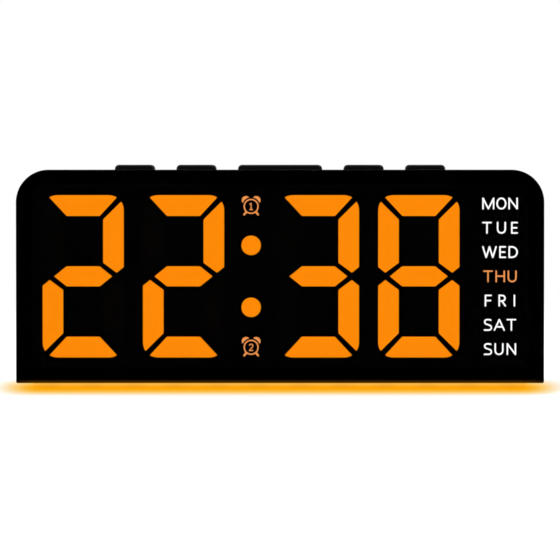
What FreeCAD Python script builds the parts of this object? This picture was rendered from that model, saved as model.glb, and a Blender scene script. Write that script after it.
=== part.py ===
"""Digital day clock: four 2-inch seven-segment digits, seven weekday legends, two alarm
symbols, five keys on top and a night-light strip below.

Millimetres. X runs to the right, Y from the front panel to the back and Z up.
The origin is on the surface the feet stand on, at the centre of the whole clock's box.
"""
import FreeCAD, Part
import math
import os

# ---------------------------------------------------------------- driving sizes
# Case
body_width = 165.0
body_height = 66.7
body_depth = 36.0
corner_top = 10.2
corner_bottom = 0.5
wall = 2.0
foot_lift = 2.5
front_case_depth = 21.8
face_thick = 2.5
rear_round = 3.0
rear_bottom_round = 1.5
lip_length = 2.0
lip_thick = 1.0
lip_clear = 0.15
seam_groove = 0.3

# Front panel
lens_thick = 2.0
lens_edge = 0.35
tape_thick = 0.2
tape_inset = 1.0
tape_window_gap = 0.9

# Display module: its lip rests in the front case's window
module_width = 154.0
module_height = 56.0
module_corner = 1.5
module_lip = 1.2
module_clear = 0.2
air_gap = 0.2
mask_thick = 0.4
lip_seat = 0.9
reflector_thick = 6.0
diffuser_thick = 1.2
pcb_thick = 1.6
pcb_clear = 0.3

# Digits
digit_height = 50.8
digit_width = 25.4
digit_centres = (-61.6, -30.2, 12.0, 43.4)
digit_corner = 4.69
bar_flat = 6.52
bar_upright = 6.44
bar_middle_half = 3.15
bar_gap = 1.1
middle_tip_inset = 3.63
upright_tip_inset = 2.24
upright_tip_height = 1.14
upright_shoulder_height = 2.93
flat_tip_angle = 57.6
upright_tip_angle = 34.2

# Colon and alarm symbols
colon_x = -9.05
colon_rise = 9.7
colon_radius = 3.05
icon_rise = 22.05
icon_drop = 0.17
icon_well_radius = 4.1
icon_ring_radius = 2.37
icon_stroke = 0.40
icon_bell_gap = 0.50
icon_leg_stroke = 0.6
icon_numeral_height = 2.3
icon_numeral_stroke = 0.30

# Weekday legends: name, printed width and stroke
weekday_x = 68.8
weekday_pitch = 7.594
weekday_cap_height = 3.74
weekday_well_width = 12.2
weekday_well_height = 5.6
weekday_words = (("MON", 11.15, 0.50), ("TUE", 11.20, 0.50), ("WED", 11.20, 0.50), ("THU", 10.50, 0.48),
                 ("FRI", 9.55, 0.50), ("SAT", 10.20, 0.48), ("SUN", 10.20, 0.48))
weekday_kerning = {"FR": -0.30, "SU": -0.20}

# Light-emitting diodes
led_width = 2.0
led_height = 1.2
led_thick = 0.8

# Back of the display board: chips as centre x and z, width, height and thickness
chip_list = ((-50.0, 8.0, 7.5, 18.0, 2.4), (18.0, 8.0, 7.5, 18.0, 2.4), (-8.0, -6.0, 10.0, 10.0, 1.5))
chip_edge = 0.25
crystal_radius = 1.0
crystal_length = 6.0
crystal_x = -8.0
crystal_drop = 20.0
display_screw_rise = 22.0
display_screw_length = 5.0

# Keys: name, centre and width
key_list = (("set", -45.85, 12.65), ("down", -26.4, 12.65), ("snooze", 0.0, 26.6), ("up", 26.4, 12.65),
            ("alarm", 45.85, 12.65))
key_depth = 8.0
key_proud = 1.6
key_corner = 2.0
key_edge = 1.35
key_clear = 0.2
key_flange = 0.8
key_flange_thick = 1.0
key_seat_gap = 0.05
key_travel = 0.5
stem_size = 4.0
stem_length = 1.0
plunger_radius = 1.7
plunger_proud = 0.9
plunger_hidden = 0.7
plunger_clear = 0.2
switch_floor_gap = 0.4
switch_size = 6.0
switch_height = 3.4
key_pcb_thick = 1.2
key_pcb_depth = 9.6
key_pcb_gap = 1.3
key_pcb_overhang = 5.0
key_post_radius = 2.0
key_screw_depth = 4.0

# Night light
bar_width = 5.0
bar_front_gap = 0.2
bar_side_inset = 4.8
bar_proud = 2.0
bar_clear = 0.15
bar_flange = 0.8
bar_flange_thick = 1.0
bar_channel = 1.0
bar_rib = 0.8
bar_end_roundness = 0.98
bar_edge = 0.8
strip_thick = 0.8
strip_led_count = 12

# Feet
foot_radius = 4.5
foot_recess = 0.8
foot_side_inset = 14.5
foot_rear_inset = 6.5
foot_rib = 1.05
foot_edge = 0.6
foot_clear = 0.1

# Case screws and their bosses
screw_inset_x = 7.0
screw_inset_z = 7.3
boss_radius = 3.8
boss_rib = 2.4
boss_board_gap = 1.6
boss_bar_gap = 0.5
screw_head_radius = 2.5
screw_head_height = 1.9
screw_radius = 1.35
screw_length = 10.0
screw_sink = 8.0
head_clear = 0.3
thread_clear = 0.05

# Small screws
small_screw_radius = 0.8
small_head_radius = 1.6
small_head_height = 1.1

# Backup cells, their bay and its door
cell_diameter = 10.5
cell_length = 44.5
cell_nub_radius = 1.9
cell_nub_length = 1.0
cell_count = 3
cell_gap = 0.7
cell_side_gap = 0.6
can_edge = 0.4
contact_thick = 0.4
contact_bump = 1.2
contact_width = 8.0
spring_space = 5.5
spring_radius = 3.0
spring_wire = 0.25
spring_turns = 4
tray_wall = 1.5
door_thick = 2.0
door_skirt = 0.8
door_lap = 2.4
door_gap = 0.4
door_seat_gap = 0.3
hinge_pin_radius = 0.75
hinge_pin_clear = 0.15
hinge_pin_reach = 1.2
hinge_pad = 3.0
latch_width = 9.0
latch_length = 7.0
latch_slit = 0.8
grip_width = 0.8
grip_pitch = 1.8
thumb_radius = 12.0
thumb_depth = 1.2
thumb_reach = 3.0

# Power inlet and its board
usb_x = -52.0
usb_rise = 7.5
usb_width = 8.94
usb_height = 3.26
usb_length = 7.35
usb_shell = 0.3
usb_set_back = 0.5
usb_opening_clear = 0.35
usb_back_wall = 0.8
usb_tongue_width = 6.69
usb_tongue_thick = 0.7
usb_tongue_set_back = 0.8
power_pcb_width = 20.0
power_pcb_depth = 11.5
power_post_radius = 2.2
power_screw_depth = 3.7

# Buzzer and air slots
buzzer_x = 52.0
buzzer_radius = 11.0
buzzer_thick = 5.0
buzzer_hole_radius = 1.5
buzzer_collar = 1.2
buzzer_collar_length = 3.0
buzzer_clear = 0.2
grille_hole_radius = 0.9
grille_pitch = 3.4
vent_x = -52.0
vent_rise = 10.0
vent_width = 1.6
vent_height = 12.0
vent_pitch = 4.0
vent_count = 7

# Cables and connectors
connector_depth = 3.4
connector_height = 3.0
cable_thick = 0.6
cable_bend = 2.0
key_cable_x = 52.0
key_cable_drop = 16.0
key_cable_width = 6.0
power_cable_rise = 10.0
power_cable_width = 5.0
cell_cable_x = -36.0
buzzer_cable_x = 34.0
pair_width = 2.4
pair_thick = 1.1
connector_margin = 1.2
strip_cable_x = -60.0
strip_header_inset = 2.45
strip_cable_width = 6.0

# ---------------------------------------------------------------- derived planes
half_width = body_width / 2
y_front = -body_depth / 2
y_back = body_depth / 2
y_lens = y_front + lens_thick
y_case = y_lens + tape_thick
y_face = y_case + face_thick
y_seam = y_case + front_case_depth
y_mask = y_case + air_gap
y_reflector = y_mask + mask_thick
y_seat = y_reflector + lip_seat
y_pcb = y_reflector + reflector_thick
y_pcb_back = y_pcb + pcb_thick
y_rear_inside = y_back - wall
z_under = foot_lift
z_floor = z_under + wall
z_top = foot_lift + body_height
z_ceiling = z_top - wall
z_mid = (z_under + z_top) / 2
key_y = y_pcb_back + key_pcb_gap + key_pcb_depth / 2
bar_y = y_face + bar_front_gap + bar_flange + bar_width / 2
bar_length = body_width - 2 * bar_side_inset
foot_x = half_width - foot_side_inset
foot_front_y = bar_y + bar_width / 2 + bar_clear + foot_rib + foot_clear + foot_radius
y_boss = max(y_pcb_back + boss_board_gap, bar_y + bar_width / 2 + bar_flange + boss_bar_gap)
cell_pitch = cell_diameter + cell_gap

module_half_w = module_width / 2
module_half_h = module_height / 2
opening_half_w = module_half_w - module_lip + module_clear
opening_half_h = module_half_h - module_lip + module_clear
pcb_half_w = opening_half_w - module_clear - pcb_clear
pcb_half_h = opening_half_h - module_clear - pcb_clear


# ---------------------------------------------------------------- helpers
def vec(x, y, z):
    return FreeCAD.Vector(x, y, z)


def box(x0, x1, y0, y1, z0, z1):
    return Part.makeBox(x1 - x0, y1 - y0, z1 - z0, vec(x0, y0, z0))


def rod(radius, start, end):
    """Round bar between two points."""
    axis = end.sub(start)
    return Part.makeCylinder(radius, axis.Length, start, axis)


def post(radius, x, y, z0, z1):
    """Round bar along Z."""
    return rod(radius, vec(x, y, z0), vec(x, y, z1))


def disc(radius, place, start, end):
    """Round plug along Y at an (x, z) place."""
    return rod(radius, vec(place[0], start, place[1]), vec(place[0], end, place[1]))


def lift(plane, u, v, w):
    """Point (u, v) of a plane named by its two axes, at w along the third axis."""
    if plane == "xz":
        return vec(u, w, v)
    if plane == "xy":
        return vec(u, v, w)
    return vec(w, u, v)


def rounded_wire(plane, corners, w):
    """Closed wire through (u, v, radius) corners, each rounded by a tangent arc."""
    spans = []
    for index, (u, v, radius) in enumerate(corners):
        here = vec(u, v, 0)
        before = corners[index - 1]
        after = corners[(index + 1) % len(corners)]
        back = vec(before[0] - u, before[1] - v, 0).normalize()
        ahead = vec(after[0] - u, after[1] - v, 0).normalize()
        if radius <= 0:
            spans.append((here, None, here))
            continue
        half_angle = back.getAngle(ahead) / 2
        inward = (back + ahead).normalize()
        reach = radius / math.tan(half_angle)
        crown = here + inward * (radius / math.sin(half_angle) - radius)
        spans.append((here + back * reach, crown, here + ahead * reach))
    edges = []
    for index, (start, crown, end) in enumerate(spans):
        tip = lift(plane, end.x, end.y, w)
        if crown is not None:
            arc = Part.Arc(lift(plane, start.x, start.y, w), lift(plane, crown.x, crown.y, w), tip)
            edges.append(arc.toShape())
        following = spans[(index + 1) % len(spans)][0]
        target = lift(plane, following.x, following.y, w)
        if target.distanceToPoint(tip) > 1e-6:
            edges.append(Part.makeLine(tip, target))
    return Part.Wire(edges)


def prism(plane, corners, start, end):
    """Solid of a rounded outline, from start to end along the plane's normal."""
    face = Part.Face(rounded_wire(plane, corners, start))
    return face.extrude(lift(plane, 0, 0, end - start))


def rectangle(u0, u1, v0, v1, radius=0.0):
    return [(u0, v0, radius), (u1, v0, radius), (u1, v1, radius), (u0, v1, radius)]


def centred(half_u, half_v, centre_v, radius=0.0):
    return rectangle(-half_u, half_u, centre_v - half_v, centre_v + half_v, radius)


def outline(inset, low_radius=None):
    """Front outline of the body, drawn in by inset."""
    low = max(corner_bottom - inset, 0.0) if low_radius is None else low_radius
    high = corner_top - inset
    side = half_width - inset
    return [(-side, z_under + inset, low), (side, z_under + inset, low),
            (side, z_top - inset, high), (-side, z_top - inset, high)]


def edges_on(shape, axis, value):
    """Edges of a shape that lie in one plane, such as every edge at y = value."""
    found = []
    for edge in shape.Edges:
        low = getattr(edge.BoundBox, axis + "Min")
        high = getattr(edge.BoundBox, axis + "Max")
        if abs(low - value) < 1e-3 and abs(high - value) < 1e-3:
            found.append(edge)
    return found


def group(solids):
    return Part.makeCompound(solids)


def mirrored(positions):
    return [sign * position for position in positions for sign in (-1, 1)]


def pan_screw(head, direction, head_radius, head_height, radius, length):
    """Screw with its head's seat at a point and its shank along a direction; cross recess."""
    axis = direction.normalize()
    crown = head - axis * head_height
    screw = rod(head_radius, head, crown)
    screw = screw.makeFillet(head_height * 0.35, edges_near(screw, crown))
    screw = screw.fuse(rod(radius, head, head + axis * length))
    side = vec(axis.z, axis.x, axis.y)
    for turn in (0, 90):
        blade = Part.makeBox(head_radius * 1.2, head_radius * 0.26, head_height * 0.6)
        blade.translate(vec(-head_radius * 0.6, -head_radius * 0.13, 0))
        blade.rotate(vec(0, 0, 0), vec(0, 0, 1), turn)
        blade.Placement = FreeCAD.Placement(crown, FreeCAD.Rotation(vec(0, 0, 1), axis)) * blade.Placement
        screw = screw.cut(blade)
    return screw


def edges_near(shape, point):
    """Round edges whose centre is a point."""
    return [edge for edge in shape.Edges
            if hasattr(edge.Curve, "Center") and edge.Curve.Center.distanceToPoint(point) < 1e-6]


# ---------------------------------------------------------------- windows of the display
def stroke(ends, width, start, end):
    """Straight stroke with round ends in the XZ plane, as a solid."""
    (x0, z0), (x1, z1) = ends
    length = math.hypot(x1 - x0, z1 - z0)
    across_x = -(z1 - z0) / length * width / 2
    across_z = (x1 - x0) / length * width / 2
    along_x = (x1 - x0) / length * width / 2
    along_z = (z1 - z0) / length * width / 2
    first_left = vec(x0 + across_x, start, z0 + across_z)
    first_right = vec(x0 - across_x, start, z0 - across_z)
    last_left = vec(x1 + across_x, start, z1 + across_z)
    last_right = vec(x1 - across_x, start, z1 - across_z)
    wire = Part.Wire([
        Part.makeLine(first_left, last_left),
        Part.Arc(last_left, vec(x1 + along_x, start, z1 + along_z), last_right).toShape(),
        Part.makeLine(last_right, first_right),
        Part.Arc(first_right, vec(x0 - along_x, start, z0 - along_z), first_left).toShape()])
    return Part.Face(wire).extrude(vec(0, end - start, 0))


def curved_stroke(centre, radius, angles, width, start, end):
    """Stroke along a circle's arc with round ends in the XZ plane; angles in degrees."""
    def at(reach, angle, along=0.0):
        """Point at a distance from the centre and an angle, shifted along the arc."""
        cosine = math.cos(math.radians(angle))
        sine = math.sin(math.radians(angle))
        x = centre[0] + reach * cosine - along * sine
        return vec(x, start, centre[1] + reach * sine + along * cosine)

    first, last = angles
    way = math.copysign(width / 2, last - first)
    middle = (first + last) / 2
    outer = radius + width / 2
    inner = radius - width / 2
    wire = Part.Wire([
        Part.Arc(at(outer, first), at(outer, middle), at(outer, last)).toShape(),
        Part.Arc(at(outer, last), at(radius, last, way), at(inner, last)).toShape(),
        Part.Arc(at(inner, last), at(inner, middle), at(inner, first)).toShape(),
        Part.Arc(at(inner, first), at(radius, first, -way), at(outer, first)).toShape()])
    return Part.Face(wire).extrude(vec(0, end - start, 0))


def ellipse_ring(centre, radii, width, start, end):
    """Closed elliptical stroke in the XZ plane."""
    solids = []
    for offset in (width / 2, -width / 2):
        half_x = radii[0] + offset
        half_z = radii[1] + offset
        if abs(half_z - half_x) < 1e-6:
            solids.append(disc(half_x, centre, start, end))
            continue
        middle = vec(centre[0], start, centre[1])
        tall = middle + vec(0, 0, half_z)
        wide = middle + vec(half_x, 0, 0)
        ellipse = Part.Ellipse(max(tall, wide, key=middle.distanceToPoint),
                               min(tall, wide, key=middle.distanceToPoint), middle)
        face = Part.Face(Part.Wire(ellipse.toShape()))
        solids.append(face.extrude(vec(0, end - start, 0)))
    return solids[0].cut(solids[1])


# Letters as strokes on a grid one cap height high, measured between the stroke's middles.
# "line" holds two points; "arc" a centre, a radius and two angles; "ring" a centre and two radii.
glyphs = {
    "M": (1.02, [("line", (0, 0), (0, 1)), ("line", (0, 1), (0.51, 0)), ("line", (0.51, 0), (1.02, 1)),
                 ("line", (1.02, 1), (1.02, 0))]),
    "O": (0.83, [("ring", (0.415, 0.5), (0.415, 0.5))]),
    "N": (0.77, [("line", (0, 0), (0, 1)), ("line", (0, 1), (0.77, 0)), ("line", (0.77, 0), (0.77, 1))]),
    "T": (0.78, [("line", (0, 1), (0.78, 1)), ("line", (0.39, 1), (0.39, 0))]),
    "U": (0.73, [("line", (0, 1), (0, 0.365)), ("arc", (0.365, 0.365), 0.365, (180, 360)),
                 ("line", (0.73, 0.365), (0.73, 1))]),
    "E": (0.51, [("line", (0, 0), (0, 1)), ("line", (0, 1), (0.51, 1)), ("line", (0, 0.5), (0.46, 0.5)),
                 ("line", (0, 0), (0.51, 0))]),
    "W": (1.27, [("line", (0, 1), (0.317, 0)), ("line", (0.317, 0), (0.635, 1)),
                 ("line", (0.635, 1), (0.953, 0)), ("line", (0.953, 0), (1.27, 1))]),
    "D": (0.76, [("line", (0, 0), (0, 1)), ("line", (0, 1), (0.26, 1)), ("line", (0, 0), (0.26, 0)),
                 ("arc", (0.26, 0.5), 0.5, (-90, 90))]),
    "H": (0.77, [("line", (0, 0), (0, 1)), ("line", (0.77, 0), (0.77, 1)),
                 ("line", (0, 0.52), (0.77, 0.52))]),
    "F": (0.54, [("line", (0, 0), (0, 1)), ("line", (0, 1), (0.54, 1)), ("line", (0, 0.5), (0.48, 0.5))]),
    "R": (0.58, [("line", (0, 0), (0, 1)), ("line", (0, 1), (0.28, 1)), ("line", (0, 0.46), (0.28, 0.46)),
                 ("arc", (0.28, 0.73), 0.27, (-90, 90)), ("line", (0.26, 0.46), (0.58, 0))]),
    "I": (0.0, [("line", (0, 0), (0, 1))]),
    "S": (0.67, [("arc", (0.48, 0.78), 0.22, (50, 90)), ("line", (0.48, 1), (0.255, 1)),
                 ("arc", (0.255, 0.78), 0.22, (90, 250.7)), ("line", (0.1824, 0.5723), (0.5126, 0.4568)),
                 ("arc", (0.435, 0.235), 0.235, (70.7, -90)), ("line", (0.435, 0), (0.02, 0))]),
    "A": (0.94, [("line", (0, 0), (0.47, 1)), ("line", (0.47, 1), (0.94, 0)),
                 ("line", (0.15, 0.31), (0.79, 0.31))]),
}


def letter(name, left, base, height, width, start, end):
    """Solid letter whose strokes' middles begin at (left, base) and rise by height."""
    solids = []
    for kind, *data in glyphs[name][1]:
        if kind == "line":
            ends = [(left + x * height, base + z * height) for x, z in data]
            solids.append(stroke(ends, width, start, end))
            continue
        centre = (left + data[0][0] * height, base + data[0][1] * height)
        if kind == "ring":
            radii = (data[1][0] * height, data[1][1] * height)
            solids.append(ellipse_ring(centre, radii, width, start, end))
        else:
            solids.append(curved_stroke(centre, data[1] * height, data[2], width, start, end))
    return solids[0].multiFuse(solids[1:]).removeSplitter() if len(solids) > 1 else solids[0]


def legend(word, printed_width, width, centre_x, centre_z, start, end):
    """Letters of one word, spread over its printed width, some pairs set closer."""
    height = weekday_cap_height - width
    widths = [glyphs[name][0] * height + width for name in word]
    closer = [weekday_kerning.get(word[index:index + 2], 0.0) for index in range(len(word))]
    gap = (printed_width - sum(widths) - sum(closer)) / (len(word) - 1)
    left = centre_x - printed_width / 2
    solids = []
    for name, letter_width, shift in zip(word, widths, closer):
        solids.append(letter(name, left + width / 2, centre_z - height / 2, height, width, start, end))
        left += letter_width + gap + shift
    return solids


def segments(centre_x, start, end):
    """Seven bars of a digit in the order a, b, c, d, e, f, g."""
    half_w = digit_width / 2
    half_h = digit_height / 2
    inner_x = half_w - bar_upright
    inner_z = half_h - bar_flat
    turn_x = half_w - digit_corner
    turn_z = half_h - digit_corner

    def on_corner(angle):
        across = turn_x + digit_corner * math.cos(math.radians(angle))
        return across, turn_z + digit_corner * math.sin(math.radians(angle))

    def bar(points, mirror_x, mirror_z):
        """Bar from points; a three-number point marks the middle of an arc."""
        places = [vec(centre_x + mirror_x * p[0], start, z_mid + mirror_z * p[1]) for p in points]
        edges = []
        index = 0
        while index < len(points):
            ahead = (index + 1) % len(points)
            if len(points[ahead]) == 3:
                last = (index + 2) % len(points)
                edges.append(Part.Arc(places[index], places[ahead], places[last]).toShape())
                index += 2
            else:
                edges.append(Part.makeLine(places[index], places[ahead]))
                index += 1
        return Part.Face(Part.Wire(edges)).extrude(vec(0, end - start, 0))

    tip = on_corner(flat_tip_angle)
    bend = on_corner((flat_tip_angle + 90) / 2)
    flat = [(-(inner_x - bar_gap), inner_z), (inner_x - bar_gap, inner_z), tip, (bend[0], bend[1], 1),
            (turn_x, half_h), (-turn_x, half_h), (-bend[0], bend[1], 1), (-tip[0], tip[1])]
    shoulder = on_corner(upright_tip_angle)
    elbow = on_corner(upright_tip_angle / 2)
    upright = [(inner_x, inner_z - bar_gap), (inner_x, bar_middle_half + bar_gap),
               (half_w - upright_tip_inset, upright_tip_height), (half_w, upright_shoulder_height),
               (half_w, turn_z), (elbow[0], elbow[1], 1), shoulder]
    middle_x = inner_x - bar_gap
    middle_tip = half_w - middle_tip_inset
    middle = [(-middle_x, -bar_middle_half), (middle_x, -bar_middle_half), (middle_tip, 0),
              (middle_x, bar_middle_half), (-middle_x, bar_middle_half), (-middle_tip, 0)]
    return [bar(flat, 1, 1), bar(upright, 1, 1), bar(upright, 1, -1), bar(flat, 1, -1),
            bar(upright, -1, -1), bar(upright, -1, 1), bar(middle, 1, 1)]


def alarm_symbol(number, centre_z, start, end):
    """Ring with two bells, two legs and a numeral, as separate solids."""
    def at(x, z):
        return colon_x + x, centre_z + z

    ring = ellipse_ring(at(0, 0), (icon_ring_radius - icon_stroke / 2,) * 2, icon_stroke, start, end)
    solids = [ring]
    bell_radius = icon_ring_radius * 0.56
    clear_radius = icon_ring_radius + icon_bell_gap
    hollow = disc(clear_radius, at(0, 0), start, end)
    for side in (-1, 1):
        bell_place = at(side * icon_ring_radius * 0.68, icon_ring_radius * 0.81)
        solids.append(disc(bell_radius, bell_place, start, end).cut(hollow))
        leg = [at(side * icon_ring_radius * 0.62, -icon_ring_radius * 0.72),
               at(side * icon_ring_radius * 0.92, -icon_ring_radius * 1.08)]
        solids.append(stroke(leg, icon_leg_stroke, start, end))
    rise = (icon_numeral_height - icon_numeral_stroke) / 2
    width = icon_numeral_stroke
    if number == 1:
        parts = [stroke([at(0, -rise), at(0, rise)], width, start, end),
                 stroke([at(0, rise), at(-0.4, rise - 0.3)], width, start, end),
                 stroke([at(-0.45, -rise), at(0.45, -rise)], width, start, end)]
    else:
        bowl = rise * 0.55
        leave = math.radians(-30)
        elbow = at(bowl * math.cos(leave), rise - bowl + bowl * math.sin(leave))
        parts = [curved_stroke(at(0, rise - bowl), bowl, (165, -30), width, start, end),
                 stroke([elbow, at(-bowl, -rise)], width, start, end),
                 stroke([at(-bowl, -rise), at(bowl, -rise)], width, start, end)]
    solids.append(parts[0].multiFuse(parts[1:]))
    return solids


# ---------------------------------------------------------------- display module
y_diffuser = y_reflector + diffuser_thick
body_half_w = module_half_w - module_lip
body_half_h = module_half_h - module_lip
weekday_rows = [(word, width, thick, z_mid + (len(weekday_words) // 2 - row) * weekday_pitch)
                for row, (word, width, thick) in enumerate(weekday_words)]
icon_rows = [(1, z_mid + icon_rise - icon_drop), (2, z_mid - icon_rise - icon_drop)]
display_screw_x = ((digit_centres[0] + digit_centres[1]) / 2, (digit_centres[2] + digit_centres[3]) / 2,
                   (digit_centres[3] + digit_width / 2 + weekday_x - weekday_well_width / 2) / 2)
display_screw_places = [(x, z_mid + rise) for x in display_screw_x for rise in mirrored([display_screw_rise])]


def dots(start, end):
    return [disc(colon_radius, (colon_x, z_mid + rise), start, end) for rise in mirrored([colon_rise])]


def legend_block(z, start, end):
    half_w = weekday_well_width / 2
    half_h = weekday_well_height / 2
    corners = rectangle(weekday_x - half_w, weekday_x + half_w, z - half_h, z + half_h, module_corner / 2)
    return prism("xz", corners, start, end)


def build_display():
    """Mask, reflector and the light windows that fill both."""
    face = centred(module_half_w, module_half_h, z_mid, module_corner)
    module_mask = prism("xz", face, y_mask, y_reflector)
    flange = prism("xz", face, y_reflector, y_seat)
    body = prism("xz", centred(body_half_w, body_half_h, z_mid, module_corner), y_seat, y_pcb)
    windows = []
    wells = []
    for number, centre in enumerate(digit_centres, start=1):
        bars = segments(centre, y_mask, y_diffuser)
        pieces["digit_%d" % number] = group(bars)
        windows += bars
        wells += segments(centre, y_mask, y_pcb)
    pieces["colon_dots"] = group(dots(y_mask, y_diffuser))
    windows += dots(y_mask, y_diffuser)
    wells += dots(y_mask, y_pcb)
    for number, z in icon_rows:
        symbol = alarm_symbol(number, z, y_mask, y_reflector)
        block = disc(icon_well_radius, (colon_x, z), y_reflector, y_diffuser)
        pieces["alarm_icon_%d" % number] = block.multiFuse(symbol)
        windows += symbol
        wells.append(disc(icon_well_radius, (colon_x, z), y_reflector, y_pcb))
    for word, printed_width, width, z in weekday_rows:
        letters = legend(word, printed_width, width, weekday_x, z, y_mask, y_reflector)
        pieces["weekday_" + word.lower()] = legend_block(z, y_reflector, y_diffuser).multiFuse(letters)
        windows += letters
        wells.append(legend_block(z, y_reflector, y_pcb))
    pieces["light_mask"] = module_mask.cut(windows)
    pilots = [disc(small_screw_radius + thread_clear, place, y_pcb - display_screw_length, y_pcb)
              for place in display_screw_places]
    pieces["display_reflector"] = flange.fuse(body).removeSplitter().cut(wells + pilots)


def build_display_board():
    """Circuit board behind the reflector with its diodes, chips, crystal and screws."""
    board = box(-pcb_half_w, pcb_half_w, y_pcb, y_pcb_back, z_mid - pcb_half_h, z_mid + pcb_half_h)
    hole_radius = small_screw_radius + head_clear
    holes = [disc(hole_radius, place, y_pcb, y_pcb_back) for place in display_screw_places]
    pieces["display_pcb"] = board.cut(holes)
    pieces["display_screws"] = group([
        pan_screw(vec(x, y_pcb_back, z), vec(0, -1, 0), small_head_radius, small_head_height,
                  small_screw_radius, pcb_thick + display_screw_length - head_clear)
        for x, z in display_screw_places])

    places = []
    flat_z = digit_height / 2 - bar_flat / 2
    upright_x = (digit_width - bar_upright) / 2
    for centre in digit_centres:
        for z in (-flat_z, 0, flat_z):
            places += [(centre + x, z_mid + z) for x in mirrored([digit_width / 8])]
        for z in mirrored([digit_height / 4 - digit_height / 12, digit_height / 4 + digit_height / 12]):
            places += [(centre + x, z_mid + z) for x in mirrored([upright_x])]
    places += [(colon_x, z_mid + rise) for rise in mirrored([colon_rise, icon_rise])]
    for row in weekday_rows:
        places += [(weekday_x + x, row[3]) for x in mirrored([weekday_well_width / 4])]
    half_w = led_width / 2
    half_h = led_height / 2
    pieces["display_leds"] = group([
        box(x - half_w, x + half_w, y_pcb - led_thick, y_pcb, z - half_h, z + half_h) for x, z in places])

    chips = []
    for x, z, width, height, thick in chip_list:
        chip = box(x - width / 2, x + width / 2, y_pcb_back, y_pcb_back + thick,
                   z_mid + z - height / 2, z_mid + z + height / 2)
        chips.append(chip.makeFillet(chip_edge, edges_on(chip, "Y", y_pcb_back + thick)))
    pieces["driver_chips"] = group(chips)
    can_foot = vec(crystal_x, y_pcb_back + crystal_radius, z_mid - crystal_drop)
    pieces["clock_crystal"] = rod(crystal_radius, can_foot, can_foot + vec(0, 0, crystal_length))


# ---------------------------------------------------------------- front panel and front case
def build_front_panel():
    panel = prism("xz", outline(0), y_front, y_lens)
    pieces["front_lens"] = panel.makeFillet(lens_edge, edges_on(panel, "Y", y_front))
    window = centred(module_half_w + tape_window_gap, module_half_h + tape_window_gap, z_mid, module_corner)
    frame = prism("xz", outline(tape_inset), y_lens, y_case)
    pieces["lens_tape"] = frame.cut(prism("xz", window, y_lens, y_case))


screw_places = [(x, z) for x in mirrored([half_width - screw_inset_x])
                for z in (z_under + screw_inset_z, z_top - screw_inset_z)]


def boss(place, start, end, grow=0.0):
    """Screw boss with two ribs that run out to the nearest walls."""
    x, z = place
    rib = boss_rib / 2 + grow
    side = math.copysign(half_width, x)
    end_z = z_under if z < z_mid else z_top
    solids = [box(min(x, side), max(x, side), start, end, z - rib, z + rib),
              box(x - rib, x + rib, start, end, min(z, end_z), max(z, end_z))]
    tube = disc(boss_radius + grow, place, start, end).multiFuse(solids)
    return tube.common(prism("xz", outline(wall / 2), start, end))


def groove():
    """Narrow shadow groove around the seam of the two case halves."""
    outer = prism("xz", outline(-1.0, corner_bottom), y_seam - seam_groove / 2, y_seam + seam_groove / 2)
    return outer.cut(prism("xz", outline(seam_groove), y_seam - seam_groove / 2, y_seam + seam_groove / 2))


key_posts = []
for left_key, right_key in zip(key_list, key_list[1:]):
    gap_start = left_key[1] + left_key[2] / 2
    gap_end = right_key[1] - right_key[2] / 2
    key_posts.append((gap_start + gap_end) / 2)

z_key_top = z_top + key_proud
z_flange_top = z_ceiling - key_seat_gap
z_flange = z_flange_top - key_flange_thick
z_plunger_top = z_flange - stem_length
z_switch_top = z_plunger_top - plunger_proud
z_key_board_top = z_switch_top - switch_height
z_key_board = z_key_board_top - key_pcb_thick
z_bar_flange = z_floor + bar_flange_thick
z_strip = z_bar_flange + bar_channel
z_strip_top = z_strip + strip_thick


def key_outline(x, width, grow):
    half_w = width / 2 + grow
    half_d = key_depth / 2 + grow
    return rectangle(x - half_w, x + half_w, key_y - half_d, key_y + half_d, key_corner + grow)


def bar_outline(grow):
    half_d = bar_width / 2 + grow
    return rectangle(-bar_length / 2 - grow, bar_length / 2 + grow, bar_y - half_d, bar_y + half_d,
                     half_d * bar_end_roundness)


def foot_places():
    rear_y = y_back - foot_rear_inset
    return [(x, y) for y in (foot_front_y, rear_y) for x in mirrored([foot_x])]


def foot_sockets():
    return [post(foot_radius + foot_clear, x, y, 0, z_under + foot_recess) for x, y in foot_places()]


def build_front_case():
    shell = prism("xz", outline(0), y_case, y_seam).cut(prism("xz", outline(wall), y_face, y_seam))
    bosses = [boss(place, y_boss, y_seam) for place in screw_places]
    posts = [post(key_post_radius, x, key_y, z_key_board_top, z_ceiling) for x in key_posts]
    shell = shell.multiFuse(bosses + posts).removeSplitter()
    seat = centred(module_half_w + module_clear, module_half_h + module_clear, z_mid, module_corner)
    cuts = [prism("xz", seat, y_case, y_seat),
            prism("xz", centred(opening_half_w, opening_half_h, z_mid, module_corner), y_seat, y_face),
            prism("xy", bar_outline(bar_clear), z_under, z_floor),
            groove()]
    cuts += [prism("xy", key_outline(x, width, key_clear), z_ceiling, z_top) for name, x, width in key_list]
    cuts += foot_sockets()
    pilot_end = y_back - screw_sink - screw_length - head_clear
    cuts += [disc(screw_radius + thread_clear, place, pilot_end, y_seam) for place in screw_places]
    cuts += [post(small_screw_radius + thread_clear, x, key_y, z_key_board_top,
                  z_key_board_top + key_screw_depth + head_clear) for x in key_posts]
    pieces["front_case"] = shell.cut(cuts)


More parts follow.
